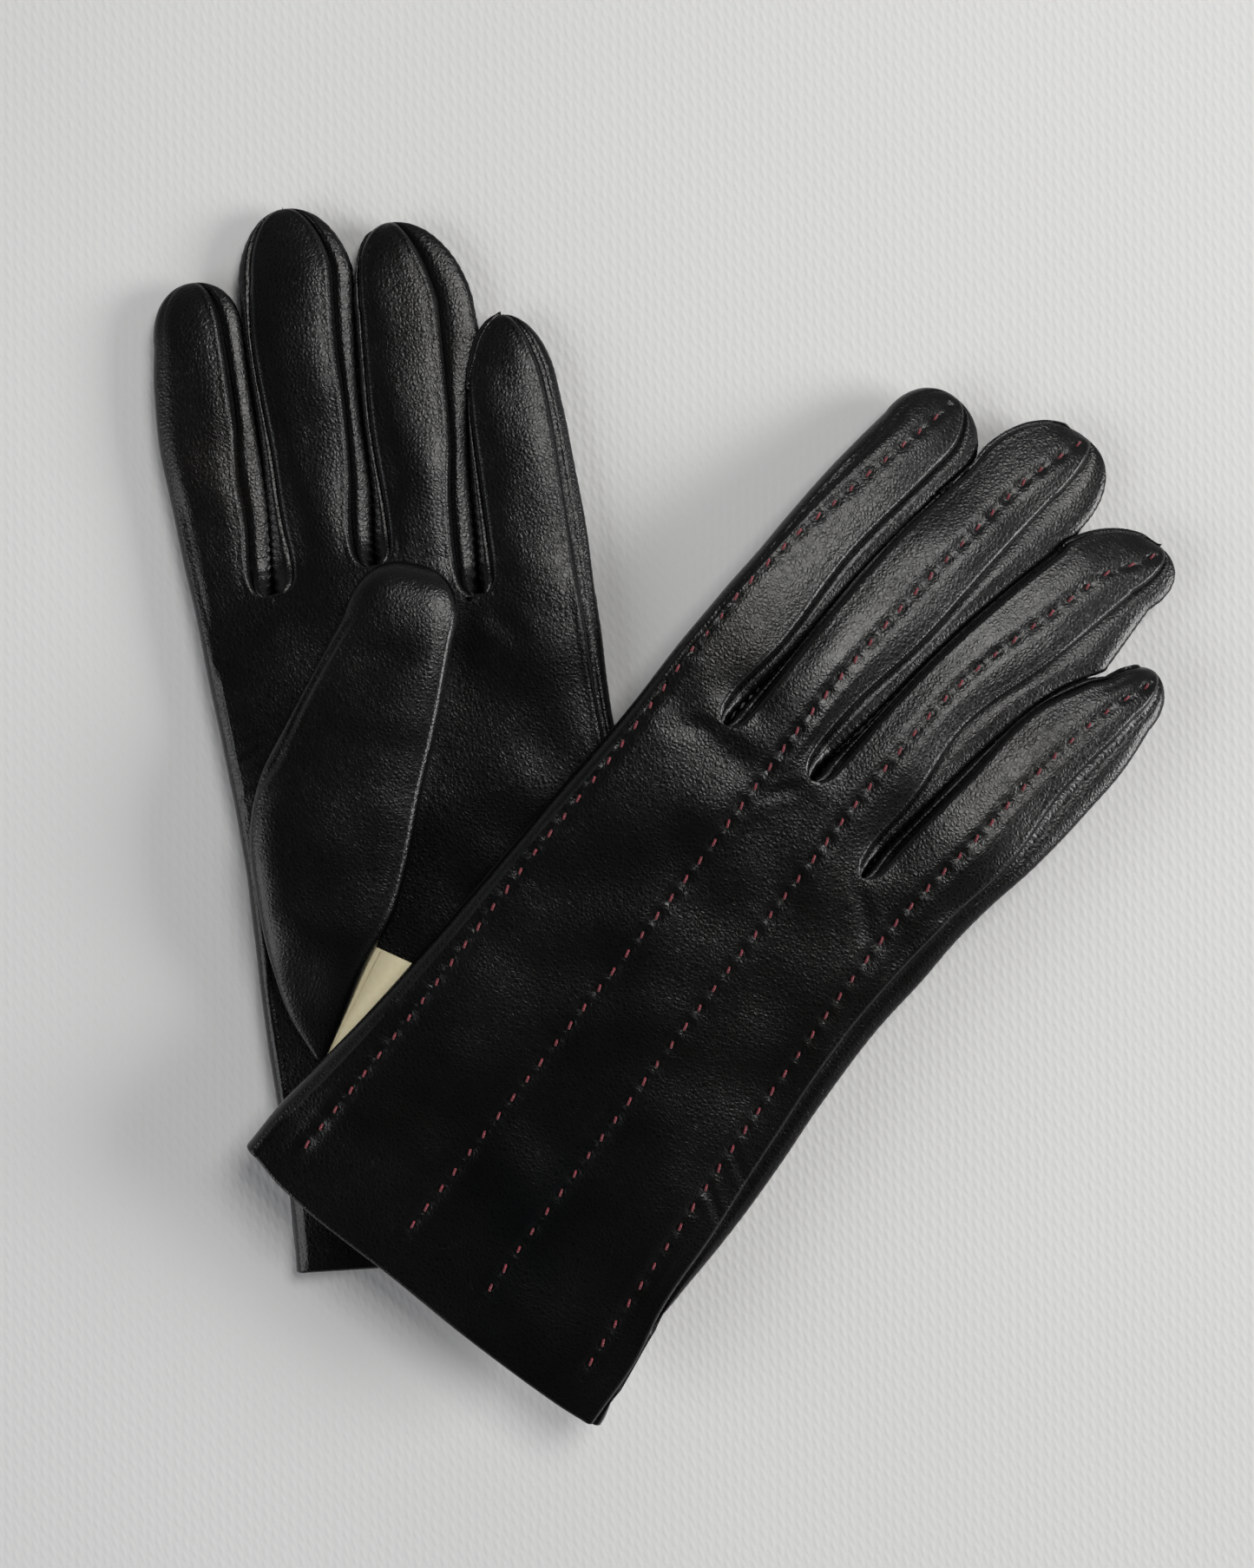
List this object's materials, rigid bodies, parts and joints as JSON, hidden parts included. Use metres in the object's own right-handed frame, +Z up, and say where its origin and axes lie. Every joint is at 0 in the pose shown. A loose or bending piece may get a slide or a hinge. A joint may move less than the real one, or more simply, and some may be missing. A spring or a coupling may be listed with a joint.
{
  "type": "pair of leather gloves",
  "caption": "Pair of lined leather dress gloves lying one on the other, with stitched backs, set-in thumbs and fingers that curl.",
  "frame": {"origin": "middle of the pair's outline on the table that it lies on", "axes": "+Z up from the table, +Y towards the fingertips of the lower glove, +X to the right seen from above"},
  "size_m": [0.2364, 0.2774, 0.0236],
  "materials": {
    "leather": "soft satin, fine grain",
    "lining": "matt knit",
    "thread": "waxed thread",
    "paper": "uncoated"
  },
  "bodies": {
    "left_hand": {"left_hand_shell": "leather", "left_cuff_hem": "leather", "left_hand_lining": "lining", "left_hand_points": "thread", "left_thumb_base": "leather"},
    "right_hand": {"right_hand_shell": "leather", "right_cuff_hem": "leather", "right_hand_lining": "lining", "right_hand_points": "thread", "right_thumb_base": "leather"},
    "left_thumb": {"left_thumb_sheath": "leather", "left_thumb_lining": "lining"},
    "left_index": {"left_index_sheath": "leather", "left_index_lining": "lining", "left_index_points": "thread", "left_index_outer_fourchette": "leather"},
    "left_middle": {"left_middle_sheath": "leather", "left_middle_lining": "lining", "left_middle_points": "thread", "left_middle_inner_fourchette": "leather", "left_middle_outer_fourchette": "leather"},
    "left_ring": {"left_ring_sheath": "leather", "left_ring_lining": "lining", "left_ring_points": "thread", "left_ring_inner_fourchette": "leather", "left_ring_outer_fourchette": "leather"},
    "left_little": {"left_little_sheath": "leather", "left_little_lining": "lining", "left_little_points": "thread", "left_little_inner_fourchette": "leather"},
    "tag": {"paper_tag": "paper"},
    "right_thumb": {"right_thumb_sheath": "leather", "right_thumb_lining": "lining"},
    "right_index": {"right_index_sheath": "leather", "right_index_lining": "lining", "right_index_points": "thread", "right_index_outer_fourchette": "leather"},
    "right_middle": {"right_middle_sheath": "leather", "right_middle_lining": "lining", "right_middle_points": "thread", "right_middle_inner_fourchette": "leather", "right_middle_outer_fourchette": "leather"},
    "right_ring": {"right_ring_sheath": "leather", "right_ring_lining": "lining", "right_ring_points": "thread", "right_ring_inner_fourchette": "leather", "right_ring_outer_fourchette": "leather"},
    "right_little": {"right_little_sheath": "leather", "right_little_lining": "lining", "right_little_points": "thread", "right_little_inner_fourchette": "leather"}
  },
  "joints": [
    {"name": "left_index_curl", "type": "hinge", "parent": "left_hand", "child": "left_index", "pos_m": [-0.10061, 0.05482, 0.008], "axis": [0.9909, 0.1348, 0], "range_deg": [0, 65]},
    {"name": "left_middle_curl", "type": "hinge", "parent": "left_hand", "child": "left_middle", "pos_m": [-0.07885, 0.06089, 0.008], "axis": [0.9974, 0.0714, 0], "range_deg": [0, 65]},
    {"name": "left_ring_curl", "type": "hinge", "parent": "left_hand", "child": "left_ring", "pos_m": [-0.05499, 0.06328, 0.008], "axis": [0.9974, 0.0725, 0], "range_deg": [0, 65]},
    {"name": "left_little_curl", "type": "hinge", "parent": "left_hand", "child": "left_little", "pos_m": [-0.02926, 0.05889, 0.008], "axis": [0.9934, 0.1147, 0], "range_deg": [0, 65]},
    {"name": "left_thumb_open", "type": "hinge", "parent": "left_hand", "child": "left_thumb", "pos_m": [-0.07604, -0.0108, 0.0178], "axis": [0.9717, -0.2364, 0], "range_deg": [0, 55]},
    {"name": "tag_slide", "type": "slide", "parent": "left_hand", "child": "tag", "axis": [0.4115, 0.9114, 0], "range_m": [0, 0.03]},
    {"name": "right_lift", "type": "slide", "parent": "left_hand", "child": "right_hand", "axis": [0, 0, 1], "range_m": [0, 0.12]},
    {"name": "right_thumb_open", "type": "hinge", "parent": "right_hand", "child": "right_thumb", "pos_m": [-0.01604, -0.01818, 0.0093], "axis": [-0.4745, 0.8802, 0], "range_deg": [0, 55]},
    {"name": "right_index_curl", "type": "hinge", "parent": "right_hand", "child": "right_index", "pos_m": [0.01549, 0.03704, 0.0156], "axis": [-0.774, 0.6332, 0], "range_deg": [0, 65]},
    {"name": "right_middle_curl", "type": "hinge", "parent": "right_hand", "child": "right_middle", "pos_m": [0.03479, 0.02475, 0.0156], "axis": [-0.7166, 0.6975, 0], "range_deg": [0, 65]},
    {"name": "right_ring_curl", "type": "hinge", "parent": "right_hand", "child": "right_ring", "pos_m": [0.05262, 0.00855, 0.0156], "axis": [-0.6752, 0.7377, 0], "range_deg": [0, 65]},
    {"name": "right_little_curl", "type": "hinge", "parent": "right_hand", "child": "right_little", "pos_m": [0.06711, -0.01265, 0.0156], "axis": [-0.6769, 0.7361, 0], "range_deg": [0, 65]}
  ],
  "couplings": [
    {"joint": "right_thumb_open", "follows": "right_lift", "rad_per_m": 6.5}
  ]
}
